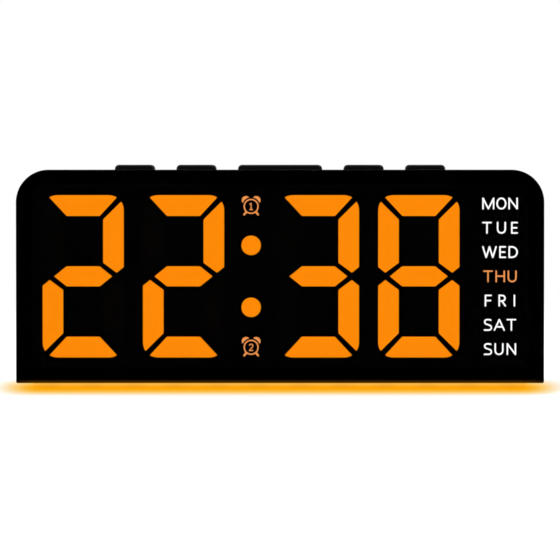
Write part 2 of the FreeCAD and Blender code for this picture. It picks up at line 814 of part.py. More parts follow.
# ---------------------------------------------------------------- rear cover, battery bay and door
bay_half_l = contact_thick + (spring_space + cell_length + contact_bump) / 2
bay_half_h = ((cell_count - 1) * cell_pitch + cell_diameter) / 2 + cell_side_gap
door_total = door_thick + door_skirt
hinge_radius = door_total / 2
y_door_inside = y_back - door_thick
y_skirt = y_back - door_total
y_hinge = y_back - hinge_radius
y_ledge = y_skirt - door_seat_gap
y_bay_floor = y_door_inside - cell_diameter - cell_side_gap
door_half_l = bay_half_l + door_lap
door_half_h = bay_half_h + door_lap
x_hinge = -door_half_l + hinge_radius
cell_rows = [z_mid + (row - (cell_count - 1) / 2) * cell_pitch for row in range(cell_count)]
cell_y = y_bay_floor + cell_side_gap / 2 + cell_diameter / 2
z_usb = z_floor + usb_rise
z_power_board_top = z_usb - usb_height / 2
z_power_board = z_power_board_top - pcb_thick
y_power_post = y_seam + power_post_radius + lip_thick
power_posts = [usb_x + x for x in mirrored([power_pcb_width / 2 - power_post_radius - head_clear])]


def grille_holes():
    """Round holes of the sound grille: one, a ring of six and a ring of twelve."""
    holes = []
    for ring, count in ((0, 1), (1, 6), (2, 12)):
        for step in range(count):
            angle = 2 * math.pi * step / count
            x = buzzer_x + ring * grille_pitch * math.cos(angle)
            z = z_mid + ring * grille_pitch * math.sin(angle)
            holes.append(disc(grille_hole_radius, (x, z), y_rear_inside, y_back))
    return holes


def vent_slots():
    slots = []
    for step in range(vent_count):
        x = vent_x + (step - (vent_count - 1) / 2) * vent_pitch
        z = z_mid + vent_rise
        corners = rectangle(x - vent_width / 2, x + vent_width / 2, z - vent_height / 2, z + vent_height / 2,
                            vent_width * 0.49)
        slots.append(prism("xz", corners, y_rear_inside, y_back))
    return slots


def cover_shell():
    """Rounded tub: the back's edges are rounded, more at the sides and top than below."""
    square = [(-half_width, z_under, 0), (half_width, z_under, 0),
              (half_width, z_top, corner_top), (-half_width, z_top, corner_top)]
    block = prism("xz", square, y_seam, y_back)
    rim = [edge for edge in edges_on(block, "Y", y_back) if edge.BoundBox.ZMax > z_under + 1e-3]
    block = block.makeFillet(rear_round, rim)
    side = [(y_seam, z_under, 0), (y_back, z_under, rear_bottom_round),
            (y_back, z_top, 0), (y_seam, z_top, 0)]
    block = block.common(prism("yz", side, -half_width, half_width))
    block = block.common(prism("xz", outline(0), y_seam, y_back))
    hollow = prism("xz", outline(wall), y_seam, y_rear_inside)
    rim = [edge for edge in edges_on(hollow, "Y", y_rear_inside) if edge.BoundBox.ZMax > z_floor + 1e-3]
    hollow = hollow.makeFillet(max(rear_round - wall, lens_edge), rim)
    root = prism("xz", outline(wall / 2), y_seam, y_seam + lip_length)
    lip = prism("xz", outline(wall + lip_clear), y_seam - lip_length, y_seam)
    bore = prism("xz", outline(wall + lip_clear + lip_thick), y_seam - lip_length, y_seam + lip_length)
    lip = lip.cut([boss(place, y_seam - lip_length, y_seam, lip_clear * 2) for place in screw_places])
    return block.cut(hollow).multiFuse([root.cut(bore), lip.cut(bore)])


def build_rear_cover():
    ledge_front = y_ledge - tray_wall
    collar_l = door_half_l + door_gap + tray_wall
    collar_h = door_half_h + door_gap + tray_wall
    adds = [boss(place, y_seam, y_rear_inside) for place in screw_places]
    adds.append(box(-collar_l, collar_l, ledge_front, y_rear_inside, z_mid - collar_h, z_mid + collar_h))
    adds.append(box(-bay_half_l - tray_wall, bay_half_l + tray_wall, y_bay_floor - tray_wall, ledge_front,
                    z_mid - bay_half_h - tray_wall, z_mid + bay_half_h + tray_wall))
    for side in (-1, 1):
        near = z_mid + side * (door_half_h + door_gap)
        far = near + side * hinge_pad
        adds.append(box(x_hinge - hinge_pad, x_hinge + hinge_pad, ledge_front, y_rear_inside,
                        min(near, far), max(near, far)))
    collar = disc(buzzer_radius + buzzer_clear + buzzer_collar, (buzzer_x, z_mid),
                  y_rear_inside - buzzer_collar_length, y_rear_inside)
    adds.append(collar.cut(disc(buzzer_radius + buzzer_clear, (buzzer_x, z_mid),
                                y_rear_inside - buzzer_collar_length, y_rear_inside)))
    adds += [post(power_post_radius, x, y_power_post, z_floor - wall / 2, z_power_board) for x in power_posts]
    cover = cover_shell().multiFuse(adds).removeSplitter()

    cuts = [box(-bay_half_l, bay_half_l, y_bay_floor, y_back, z_mid - bay_half_h, z_mid + bay_half_h),
            box(-door_half_l - door_gap, door_half_l + door_gap, y_ledge, y_back,
                z_mid - door_half_h - door_gap, z_mid + door_half_h + door_gap)]
    socket_end = door_half_h + door_gap + hinge_pin_reach + door_gap
    cuts.append(post(hinge_pin_radius + hinge_pin_clear, x_hinge, y_hinge, z_mid - socket_end,
                     z_mid + socket_end))
    thumb_y = y_back + thumb_radius - thumb_depth
    cuts.append(Part.makeSphere(thumb_radius, vec(door_half_l + thumb_reach, thumb_y, z_mid)))
    for place in screw_places:
        cuts.append(disc(screw_head_radius + head_clear, place, y_back - screw_sink, y_back))
        cuts.append(disc(screw_radius + head_clear, place, y_seam, y_back))
    mouth_w = usb_width / 2 + usb_opening_clear
    mouth_h = usb_height / 2 + usb_opening_clear
    cuts.append(prism("xz", rectangle(usb_x - mouth_w, usb_x + mouth_w, z_usb - mouth_h, z_usb + mouth_h,
                                      mouth_h * 0.98), y_rear_inside - lip_length, y_back))
    cuts += [post(small_screw_radius + thread_clear, x, y_power_post, z_floor, z_power_board)
             for x in power_posts]
    cuts += grille_holes() + vent_slots() + foot_sockets()
    cuts.append(groove())
    pieces["rear_cover"] = cover.cut(cuts)


def build_door():
    """Battery door: a lid with a skirt, a round hinge edge with two pins and a sprung latch tongue."""
    low = z_mid - door_half_h
    high = z_mid + door_half_h
    lid = box(x_hinge, door_half_l, y_skirt, y_back, low, high)
    barrel = post(hinge_radius, x_hinge, y_hinge, low, high)
    pin_end = door_half_h + door_gap + hinge_pin_reach
    pin = post(hinge_pin_radius, x_hinge, y_hinge, z_mid - pin_end, z_mid + pin_end)
    rim = [edge for edge in edges_on(lid, "X", door_half_l) if edge.Length < door_total + 1]
    lid = lid.makeFillet(door_gap * 2, rim).multiFuse([barrel, pin]).removeSplitter()
    pocket = box(x_hinge + hinge_radius, door_half_l - tray_wall, y_skirt, y_door_inside,
                 low + tray_wall, high - tray_wall)
    cuts = [pocket]
    for side in (-1, 1):
        slit = z_mid + side * (latch_width / 2 + latch_slit / 2)
        cuts.append(box(door_half_l - latch_length, door_half_l + 1, y_skirt, y_back,
                        slit - latch_slit / 2, slit + latch_slit / 2))
    for step in range(3):
        x = door_half_l - latch_length / 2 + (step - 1) * grip_pitch
        cuts.append(box(x - grip_width / 2, x + grip_width / 2, y_back - grip_width / 2, y_back,
                        z_mid - latch_width / 3, z_mid + latch_width / 3))
    pieces["battery_door"] = lid.cut(cuts)


def helix(radius, wire, turns, length):
    """Wire coil along +Z from the origin."""
    path = Part.makeHelix(length / turns, length, radius)
    section = Part.Wire(Part.makeCircle(wire, vec(radius, 0, 0), vec(0, 1, 0)))
    return Part.Wire(path.Edges).makePipeShell([section], True, True)


def build_cells():
    """Three cells that lie head to tail between springs and bumped plates."""
    spring_end = spring_wire * 1.1
    cells = []
    springs = []
    plates = []
    for row, z in enumerate(cell_rows):
        way = 1 if row % 2 == 0 else -1
        spring_wall = -way * bay_half_l
        bump_wall = way * bay_half_l
        base = spring_wall + way * (contact_thick + spring_space)
        shoulder = base + way * (cell_length - cell_nub_length)
        can = rod(cell_diameter / 2, vec(base, cell_y, z), vec(shoulder, cell_y, z))
        can = can.makeFillet(can_edge, [edge for edge in can.Edges if edge.Closed])
        nub = rod(cell_nub_radius, vec(shoulder, cell_y, z), vec(shoulder + way * cell_nub_length, cell_y, z))
        cells.append(can.fuse(nub))
        coil = helix(spring_radius, spring_wire, spring_turns, spring_space - 2 * spring_end)
        coil_start = vec(spring_wall + way * (contact_thick + spring_end), cell_y, z)
        coil.Placement = FreeCAD.Placement(coil_start, FreeCAD.Rotation(vec(0, 0, 1), vec(way, 0, 0)))
        springs.append(coil)
        for wall_x, inward in ((spring_wall, way), (bump_wall, -way)):
            near, far = sorted((wall_x, wall_x + inward * contact_thick))
            plate = box(near, far, cell_y - contact_width / 2, cell_y + contact_width / 2,
                        z - contact_width / 2, z + contact_width / 2)
            if wall_x == bump_wall:
                face = wall_x + inward * contact_thick
                plate = plate.fuse(rod(cell_nub_radius, vec(face, cell_y, z),
                                       vec(face + inward * contact_bump, cell_y, z)))
            plates.append(plate)
    pieces["backup_cells"] = group(cells)
    pieces["battery_springs"] = group(springs)
    pieces["battery_contacts"] = group(plates)


# ---------------------------------------------------------------- keys, night light and feet
def build_keys():
    """Key caps with retaining flanges, the plungers they push and the switches on their board."""
    switches = []
    for name, x, width in key_list:
        cap = prism("xy", key_outline(x, width, 0), z_flange, z_key_top)
        cap = cap.makeFillet(key_edge, edges_on(cap, "Z", z_key_top))
        flange = prism("xy", key_outline(x, width, key_flange), z_flange, z_flange_top)
        half_stem = stem_size / 2
        stem = box(x - half_stem, x + half_stem, key_y - half_stem, key_y + half_stem,
                   z_plunger_top, z_flange)
        pieces["key_" + name] = cap.multiFuse([flange, stem]).removeSplitter()
        plunger_foot = z_switch_top - plunger_hidden
        pieces["plunger_" + name] = post(plunger_radius, x, key_y, plunger_foot, z_plunger_top)
        half_switch = switch_size / 2
        body = box(x - half_switch, x + half_switch, key_y - half_switch, key_y + half_switch,
                   z_key_board_top, z_switch_top)
        depth = plunger_hidden + key_travel + switch_floor_gap
        well = post(plunger_radius + plunger_clear, x, key_y, z_switch_top - depth, z_switch_top)
        switches.append(body.cut(well))
    pieces["key_switches"] = group(switches)

    end_key = key_list[-1]
    half_length = end_key[1] + end_key[2] / 2 + key_pcb_overhang
    board = box(-half_length, half_length, key_y - key_pcb_depth / 2, key_y + key_pcb_depth / 2,
                z_key_board, z_key_board_top)
    holes = [post(small_screw_radius + head_clear, x, key_y, z_key_board, z_key_board_top) for x in key_posts]
    pieces["key_pcb"] = board.cut(holes)
    pieces["key_pcb_screws"] = group([
        pan_screw(vec(x, key_y, z_key_board), vec(0, 0, 1), small_head_radius, small_head_height,
                  small_screw_radius, key_pcb_thick + key_screw_depth) for x in key_posts])


def build_night_light():
    """Diffuser bar along the underside, with the strip of diodes that lies on its two ribs."""
    web = prism("xy", bar_outline(0), z_under - bar_proud, z_floor)
    web = web.makeFillet(bar_edge, edges_on(web, "Z", z_under - bar_proud))
    half_l = bar_length / 2 + bar_flange
    half_d = bar_width / 2 + bar_flange
    flange = box(-half_l, half_l, bar_y - half_d, bar_y + half_d, z_floor, z_bar_flange)
    ribs = [box(-half_l, half_l, y, y + bar_rib, z_bar_flange, z_strip)
            for y in (bar_y - half_d, bar_y + half_d - bar_rib)]
    pieces["light_bar"] = web.multiFuse([flange] + ribs).removeSplitter()
    pieces["light_bar_pcb"] = box(-half_l, half_l, bar_y - half_d, bar_y + half_d, z_strip, z_strip_top)
    pitch = bar_length / strip_led_count
    leds = []
    for step in range(strip_led_count):
        x = (step - (strip_led_count - 1) / 2) * pitch
        leds.append(box(x - led_width / 2, x + led_width / 2, bar_y - led_height / 2, bar_y + led_height / 2,
                        z_strip - led_thick, z_strip))
    pieces["light_bar_leds"] = group(leds)


def build_feet():
    feet = []
    for x, y in foot_places():
        foot = post(foot_radius, x, y, 0, z_under + foot_recess)
        feet.append(foot.makeFillet(foot_edge, edges_on(foot, "Z", 0)))
    pieces["rubber_feet"] = group(feet)


def build_case_screws():
    pieces["case_screws"] = group([
        pan_screw(vec(x, y_back - screw_sink, z), vec(0, -1, 0), screw_head_radius, screw_head_height,
                  screw_radius, screw_length) for x, z in screw_places])


# ---------------------------------------------------------------- power inlet, sound and cables
def build_power():
    half_w = power_pcb_width / 2
    board = box(usb_x - half_w, usb_x + half_w, y_rear_inside - power_pcb_depth, y_rear_inside,
                z_power_board, z_power_board_top)
    holes = [post(small_screw_radius + head_clear, x, y_power_post, z_power_board, z_power_board_top)
             for x in power_posts]
    pieces["power_pcb"] = board.cut(holes)
    pieces["power_pcb_screws"] = group([
        pan_screw(vec(x, y_power_post, z_power_board_top), vec(0, 0, -1), small_head_radius,
                  small_head_height, small_screw_radius, pcb_thick + power_screw_depth)
        for x in power_posts])

    mouth = y_back - usb_set_back
    tail = mouth - usb_length

    def stadium(inset):
        half_x = usb_width / 2 - inset
        half_z = usb_height / 2 - inset
        return rectangle(usb_x - half_x, usb_x + half_x, z_usb - half_z, z_usb + half_z, half_z * 0.98)

    shell = prism("xz", stadium(0), tail, mouth)
    pieces["usb_c_socket"] = shell.cut(prism("xz", stadium(usb_shell), tail + usb_back_wall, mouth))
    half_tongue = usb_tongue_width / 2
    pieces["usb_c_tongue"] = box(usb_x - half_tongue, usb_x + half_tongue,
                                 tail + usb_back_wall, mouth - usb_tongue_set_back,
                                 z_usb - usb_tongue_thick / 2, z_usb + usb_tongue_thick / 2)
    disk = disc(buzzer_radius, (buzzer_x, z_mid), y_rear_inside - buzzer_thick, y_rear_inside)
    disk = disk.makeFillet(can_edge, edges_on(disk, "Y", y_rear_inside - buzzer_thick))
    pieces["buzzer"] = disk.cut(disc(buzzer_hole_radius, (buzzer_x, z_mid), y_rear_inside - buzzer_thick / 2,
                                     y_rear_inside))


def ribbon(plane, path, thick, start, end):
    """Flat cable of constant thickness along a path in a plane, with round bends."""
    rails = []
    for side in (1, -1):
        rail = []
        for index, (u, v) in enumerate(path):
            before = path[max(index - 1, 0)]
            after = path[min(index + 1, len(path) - 1)]
            arriving = vec(u - before[0], v - before[1], 0)
            leaving = vec(after[0] - u, after[1] - v, 0)
            arriving = (arriving if index > 0 else leaving).normalize()
            leaving = (leaving if index < len(path) - 1 else arriving).normalize()
            turn = arriving.x * leaving.y - arriving.y * leaving.x
            scale = side * thick / 2 / (1 + arriving.dot(leaving))
            normal = vec(-arriving.y - leaving.y, arriving.x + leaving.x, 0) * scale
            bends = abs(turn) > 1e-6
            radius = cable_bend - side * math.copysign(thick / 2, turn) if bends else 0
            rail.append((u + normal.x, v + normal.y, radius))
        rails.append(rail)
    return prism(plane, rails[0] + rails[1][::-1], start, end)


def build_cables():
    """Flat cables between the boards, the cells and the buzzer, and the connectors they plug into."""
    y_plug = y_pcb_back + connector_depth

    def header(x, width, z):
        """Connector on the back of the display board, centred at a height."""
        return box(x - width / 2, x + width / 2, y_pcb_back, y_plug, z - connector_height / 2,
                   z + connector_height / 2)

    margin = connector_margin
    key_end = z_key_board - connector_height
    z_key_header = z_key_board - key_cable_drop
    half = key_cable_width / 2
    headers = [header(key_cable_x, key_cable_width + margin, z_key_header),
               box(key_cable_x - half - margin / 2, key_cable_x + half + margin / 2,
                   key_y - connector_depth / 2, key_y + connector_depth / 2, key_end, z_key_board)]
    pieces["key_ribbon"] = ribbon("yz", [(key_y, key_end), (key_y, z_key_header), (y_plug, z_key_header)],
                                  cable_thick, key_cable_x - half, key_cable_x + half)

    half = power_cable_width / 2
    y_start = y_rear_inside - power_pcb_depth + connector_depth / 2
    z_start = z_power_board_top + connector_height
    z_power_header = z_start + power_cable_rise
    headers += [header(usb_x, power_cable_width + margin, z_power_header),
                box(usb_x - half - margin / 2, usb_x + half + margin / 2, y_start - connector_depth / 2,
                    y_start + connector_depth / 2, z_power_board_top, z_start)]
    route = [(y_start, z_start), (y_start, z_power_header), (y_plug, z_power_header)]
    pieces["power_wires"] = ribbon("yz", route, cable_thick, usb_x - half, usb_x + half)

    bay_exit = (-bay_half_l - tray_wall, y_bay_floor + contact_width / 2)
    buzzer_exit = (buzzer_x - buzzer_radius, y_rear_inside - buzzer_thick + pair_thick)
    for name, x, (start, y) in (("battery_wires", cell_cable_x, bay_exit),
                                ("buzzer_wires", buzzer_cable_x, buzzer_exit)):
        headers.append(header(x, pair_width + margin, z_mid))
        pieces[name] = ribbon("xy", [(start, y), (x, y), (x, y_plug)], pair_thick, z_mid - pair_width / 2,
                              z_mid + pair_width / 2)

    half = strip_cable_width / 2
    z_strip_header = z_mid - pcb_half_h + strip_header_inset
    y_strip_cable = y_pcb_back + connector_depth / 4
    headers.append(header(strip_cable_x, strip_cable_width + margin, z_strip_header + connector_height / 2))
    pieces["light_bar_wires"] = box(strip_cable_x - half, strip_cable_x + half,
                                    y_strip_cable - cable_thick / 2, y_strip_cable + cable_thick / 2,
                                    z_strip_top, z_strip_header)
    pieces["board_connectors"] = group(headers)


# ---------------------------------------------------------------- assembly
pieces = {}
build_front_panel()
build_display()
build_display_board()
build_front_case()
build_rear_cover()
build_door()
build_cells()
build_keys()
build_night_light()
build_feet()
build_case_screws()
build_power()
build_cables()

os.makedirs("parts", exist_ok=True)
for node, shape in pieces.items():
    shape.exportStep("parts/%s.step" % node)
    state = "valid" if shape.isValid() else "INVALID"
    print(node, len(shape.Solids), "solids", round(shape.Volume, 1), "mm3", state)
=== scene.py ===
"""Looks of the digital day clock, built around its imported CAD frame.

Metres, X to the right, Y from the front panel to the back and Z up. Finishes are node materials
that read each piece's own object coordinates, scaled to millimetres.
"""

import math

import bpy
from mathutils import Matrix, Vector


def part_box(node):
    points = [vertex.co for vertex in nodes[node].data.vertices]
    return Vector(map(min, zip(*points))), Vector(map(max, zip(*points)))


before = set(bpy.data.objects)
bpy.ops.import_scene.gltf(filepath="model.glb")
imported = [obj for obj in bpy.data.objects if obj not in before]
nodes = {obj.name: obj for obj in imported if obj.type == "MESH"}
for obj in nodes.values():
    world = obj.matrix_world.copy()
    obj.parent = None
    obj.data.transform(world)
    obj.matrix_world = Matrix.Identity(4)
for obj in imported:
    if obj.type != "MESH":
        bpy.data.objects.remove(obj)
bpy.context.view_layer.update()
scene = bpy.context.scene

# ---------------------------------------------------------------- sizes taken from the frame
MM = 0.001
lens_low, lens_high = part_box("front_lens")
half_width = lens_high.x
y_front = lens_low.y
z_under = lens_low.z
z_top = lens_high.z
z_middle = (z_under + z_top) / 2

# ---------------------------------------------------------------- colours, linear
WHITE = (1.0, 1.0, 1.0)
GLOW = (0.973, 0.376, 0.0045)
# paler colour of the painted highlight at the night light's top, by the case
PAINTED_HIGHLIGHT_AT_CASE = (0.956, 0.479, 0.061)
DIGIT = (0.972, 0.252, 0.0008)
LEGEND_ORANGE = (0.80, 0.285, 0.078)
LEGEND_WHITE = (0.96, 0.965, 0.97)
WINDOW_OFF = (0.0015, 0.0011, 0.0009)
DIFFUSER = (0.62, 0.60, 0.55)
BLACK_CASE = (0.0085, 0.0087, 0.0092)
KEY_BLACK = (0.0015, 0.0016, 0.0017)
KEY_TOP_PAINTED_LIGHT = (0.0095, 0.0097, 0.0101)
LENS_EDGE = (0.006, 0.006, 0.0065)
PRINT_BLACK = (0.0003, 0.0003, 0.0003)
MASK_BLACK = (0.0004, 0.0004, 0.0004)
TAPE_BLACK = (0.0010, 0.0010, 0.0011)
SILICONE = (0.86, 0.84, 0.80)
SOLDER = (0.52, 0.50, 0.44)
HOLE_SHADE = (0.01, 0.01, 0.01)
PHOSPHOR = (0.86, 0.52, 0.07)
TONGUE = (0.02, 0.02, 0.022)
GOLD = (0.83, 0.61, 0.22)
FOIL_SILVER = (0.46, 0.47, 0.48)
FOIL_BLUE = (0.018, 0.062, 0.17)
FOIL_LINE = (0.05, 0.05, 0.055)
SHEATH_GREY = (0.30, 0.30, 0.31)
SHEATH_BLACK = (0.012, 0.012, 0.013)
CORE_RED = (0.45, 0.02, 0.015)

# ---------------------------------------------------------------- lens; lengths in millimetres
LENS_PASS = 0.62                # share of light left after the way in and out again
SCREEN = 1 / LENS_PASS ** 0.5   # makes up for the way out alone
LENS_IOR = 1.025                # nearly no reflection face on; angled_gloss brings it back at an angle
LENS_ROUGH = 0.012
PRINT_LAP = 0.5                 # how far the print round the window covers the mask's edge
WINDOW_CORNER = 1.5
# the night light's glow on the lens's lower edge and rim is painted on as emission
PAINTED_EDGE_GLOW_RISE = 1.3            # how high the painted glow of the night light climbs the lens's lower edge
PAINTED_EDGE_GLOW_START = 0.1
PAINTED_EDGE_GLOW_END = 5.5             # how far from the sides it weakens
PAINTED_EDGE_GLOW_FACE = 0.13
PAINTED_EDGE_GLOW_RIM = 0.5
PAINTED_EDGE_GLOW_CORNER = 0.35

# ---------------------------------------------------------------- seven-segment digits, millimetres
LIT_BARS = {1: "abged", 2: "abged", 3: "abgcd", 4: "abcdefg"}
BAR_WIDE = 6.44                 # upright bars, from the digit's side inwards
BAR_HIGH = 6.52                 # top and bottom bars, from the digit's end inwards
MITRE_SET = 0.55                # how far the mitres start outside the inner corners
MITRE_SLOPE = 1.03
END_BAR_REACH = 1.2             # how far an end bar may lie inside its inner edge
MIDDLE_TIP_X = 5.71
MIDDLE_TIP_Z = 3.70
MIDDLE_SLOPE = -0.773
MIDDLE_FLAT = 5.7

# ---------------------------------------------------------------- night light, millimetres and levels
BAR_LEVEL = 0.955
STRIP_GAPS = 11                 # gaps between the strip's twelve diodes
BAR_PALE_FROM = 0.8             # heights over which the bar grows paler towards the case, a painted highlight
BAR_PALE_TO = 1.77
BAR_SHOWN = 2.1                 # the bar's lit part ends this far above the case's underside
# pool of the night light's orange light, painted onto the floor
PAINTED_POOL_SIDE = 8.45                # where the painted pool on the floor starts to fade, inside the case's sides
PAINTED_POOL_SIDE_FADE = 16.9
PAINTED_POOL_MIDDLE = -0.5              # Y of its brightest line
PAINTED_POOL_REACH = 48.5
PAINTED_POOL_BACK_STRETCH = 0.165       # how much slower it fades behind that line
PAINTED_POOL_WIDENING = 0.0723          # how much it widens towards the back
PAINTED_POOL_LOSS = (0.012, 0.353, 0.953)   # what its core takes from white, in display levels
DISPLAY_GAMMA = 2.2

# ---------------------------------------------------------------- stage, metres and levels
WORLD_LIGHT = 0.45
FLOOR_HALF = 6.0
FLOOR_COLOUR = 0.80
FLOOR_LIFT = 0.40
FLOOR_WHITE_FROM = 250.0        # distances in millimetres over which the floor turns white
FLOOR_WHITE_TO = 900.0
LAMP_AIM = (0.0, 0.0, 0.035)
LAMPS = (("key_lamp", (-1.0, -1.1, 1.5), (0.9, 0.9), 17),
         ("fill_lamp", (1.3, -0.7, 1.0), (0.9, 0.7), 8),
         ("rim_lamp", (0.3, 1.4, 1.3), (1.2, 0.5), 13))
SENSOR = 0.036
PICTURE_WIDTH = 0.17487         # width of the picture at the front panel
CAMERA_DISTANCE = 1.2
CAMERA_BELOW_TOP = 1.0 * MM
AIM_X = -0.00002
AIM_Z = 0.03477


# ---------------------------------------------------------------- node helpers
class Nodes:
    """Shader nodes of one tree; sockets are passed around as plain values or links."""

    def __init__(self, tree):
        self.tree = tree
        self.tree.nodes.clear()
        self.spots = {}

    def node(self, kind, **settings):
        made = self.tree.nodes.new(kind)
        for key, value in settings.items():
            setattr(made, key, value)
        return made

    def put(self, socket, value):
        """Links a socket, or writes a plain value into it."""
        if isinstance(value, bpy.types.NodeSocket):
            self.tree.links.new(value, socket)
        elif isinstance(value, tuple) and socket.type == "RGBA":
            socket.default_value = (*value, 1.0)[:4]
        else:
            socket.default_value = value

    def fed(self, made, *values):
        """Feeds a node's first inputs; returns the node."""
        for socket, value in zip(made.inputs, values):
            self.put(socket, value)
        return made

    def math(self, operation, *values, clamp=False):
        return self.fed(self.node("ShaderNodeMath", operation=operation, use_clamp=clamp), *values).outputs[0]

    def vector(self, operation, *values):
        made = self.fed(self.node("ShaderNodeVectorMath", operation=operation), *values)
        return made.outputs["Value" if operation == "LENGTH" else "Vector"]

    def mm(self):
        """Object coordinates in millimetres."""
        if "mm" not in self.spots:
            scale = self.fed(self.node("ShaderNodeVectorMath", operation="SCALE"),
                             self.node("ShaderNodeTexCoord").outputs["Object"])
            scale.inputs["Scale"].default_value = 1 / MM
            self.spots["mm"] = scale.outputs[0]
        return self.spots["mm"]

    def axis(self, name, vector=None):
        """One component of a vector, or of the object coordinates in millimetres."""
        if vector is None and name in self.spots:
            return self.spots[name]
        split = self.fed(self.node("ShaderNodeSeparateXYZ"), self.mm() if vector is None else vector)
        if vector is None:
            for letter in "XYZ":
                self.spots[letter] = split.outputs[letter]
        return split.outputs[name]

    def noise(self, size, detail=3.0, roughness=0.5, stretch=None):
        """Noise whose cells are about size millimetres across."""
        made = self.node("ShaderNodeTexNoise")
        place = self.mm() if stretch is None else self.vector("MULTIPLY", self.mm(), stretch)
        self.put(made.inputs["Vector"], place)
        made.inputs["Scale"].default_value = 1 / size
        made.inputs["Detail"].default_value = detail
        made.inputs["Roughness"].default_value = roughness
        return made.outputs[0]

    def cells(self, size, randomness=1.0, output="Distance"):
        """Cells about size millimetres across."""
        made = self.node("ShaderNodeTexVoronoi", feature="F1")
        self.put(made.inputs["Vector"], self.mm())
        made.inputs["Scale"].default_value = 1 / size
        made.inputs["Randomness"].default_value = randomness
        return made.outputs[output]

    def span(self, value, low, high, to_low=0.0, to_high=1.0, smooth=True):
        """Maps a value's range onto another, clamped."""
        made = self.node("ShaderNodeMapRange", interpolation_type="SMOOTHSTEP" if smooth else "LINEAR")
        for name, number in (("Value", value), ("From Min", low), ("From Max", high),
                             ("To Min", to_low), ("To Max", to_high)):
            self.put(made.inputs[name], number)
        return made.outputs[0]

    def fade(self, value, start, length):
        """1 up to a start, then a soft bell down to 0 over a length."""
        past = self.math("MAXIMUM", self.math("SUBTRACT", value, start), 0.0)
        share = self.math("DIVIDE", past, length)
        return self.math("SUBTRACT", 1.0, self.math("POWER", share, 2.0), clamp=True)

    def blend(self, share, first, second, mode="MIX"):
        """Mixes two colours."""
        made = self.node("ShaderNodeMix", data_type="RGBA", blend_type=mode)
        self.put(made.inputs[0], share)
        self.put(made.inputs[6], first)
        self.put(made.inputs[7], second)
        return made.outputs[2]

    def grey(self, value):
        return self.fed(self.node("ShaderNodeCombineColor"), value, value, value).outputs[0]

    def shade(self, colour, value):
        """A colour times a number."""
        return self.blend(1.0, colour, self.grey(value), "MULTIPLY")

    def bump(self, height, depth):
        """Bump of a height field that is depth millimetres deep."""
        made = self.node("ShaderNodeBump")
        self.put(made.inputs["Height"], height)
        made.inputs["Distance"].default_value = depth * MM
        made.inputs["Strength"].default_value = 1.0
        return made.outputs[0]

    def stripes(self, value, pitch, share):
        """1 inside evenly spaced stripes that take a share of each pitch, else 0."""
        wave = self.math("PINGPONG", value, pitch / 2)
        return self.math("LESS_THAN", wave, pitch * share / 2)

    def light(self, kind, colour, strength):
        """Emission or background shader."""
        made = self.node(kind)
        self.put(made.inputs["Color"], colour)
        self.put(made.inputs["Strength"], strength)
        return made.outputs[0]

    def mix(self, share, first, second):
        """Mixes two shaders."""
        return self.fed(self.node("ShaderNodeMixShader"), share, first, second).outputs[0]

    def background_rays(self):
        """1 for camera, glossy and transmission rays, else 0."""
        path = self.node("ShaderNodeLightPath")
        seen = self.math("MAXIMUM", path.outputs["Is Camera Ray"], path.outputs["Is Glossy Ray"])
        return self.math("MAXIMUM", seen, path.outputs["Is Transmission Ray"])


class Finish(Nodes):
    """A node material under construction."""

    def __init__(self, name):
        self.material = bpy.data.materials.new(name)
        self.material.use_nodes = True
        super().__init__(self.material.node_tree)
        self.out = self.node("ShaderNodeOutputMaterial")

    def principled(self, **values):
        self.shader = self.node("ShaderNodeBsdfPrincipled")
        for name, value in values.items():
            self.put(self.shader.inputs[name.replace("_", " ")], value)
        self.put(self.out.inputs["Surface"], self.shader.outputs[0])

    def angled_gloss(self, low, high, most, roughness):
        """Clear coat that shows more the flatter the view; low and high are Layer Weight's facing values."""
        turned = self.node("ShaderNodeLayerWeight").outputs["Facing"]
        self.put(self.shader.inputs["Coat Weight"], self.span(turned, low, high, 0.0, most))
        self.shader.inputs["Coat Roughness"].default_value = roughness
        self.shader.inputs["Coat IOR"].default_value = 1.45

    def wear(self, nodes_named):
        """Gives this material to CAD nodes."""
        for name in nodes_named:
            mesh = nodes[name].data
            mesh.materials.clear()
            mesh.materials.append(self.material)
        return self.material


def second_finish(name, material, chosen):
    """Adds a material to a CAD node and gives it to the polygons for which chosen(polygon) is true."""
    mesh = nodes[name].data
    mesh.materials.append(material)
    index = len(mesh.materials) - 1
    for polygon in mesh.polygons:
        if chosen(polygon):
            polygon.material_index = index


# ---------------------------------------------------------------- finishes of the outside
def moulded(name, grain, depth, roughness, specular, colour=BLACK_CASE, top=None, mottle=0.10):
    """Black moulded plastic with an eroded texture of a given grain in millimetres; top is a lighter colour
    for faces that look up, painted light from above."""
    f = Finish(name)
    # faces that look up get a lighter colour: painted light from above
    if top:
        up = f.axis("Z", f.node("ShaderNodeTexCoord").outputs["Normal"])
        colour = f.blend(f.span(up, 0.45, 0.95), colour, top)
    fine = f.noise(grain, detail=4.0, roughness=0.62)
    broad = f.noise(14.0, detail=2.0)
    tone = f.math("ADD", f.math("MULTIPLY", f.math("SUBTRACT", broad, 0.5), mottle * 2),
                  f.math("MULTIPLY_ADD", f.math("SUBTRACT", fine, 0.5), mottle * 1.6, 1.0))
    rough = f.math("ADD", f.math("MULTIPLY_ADD", f.math("SUBTRACT", fine, 0.5), 0.18, roughness),
                   f.math("MULTIPLY", f.math("SUBTRACT", broad, 0.5), 0.06))
    f.principled(Base_Color=f.shade(colour, tone), Roughness=rough, Normal=f.bump(fine, depth),
                 IOR=1.54, Specular_IOR_Level=specular)
    return f


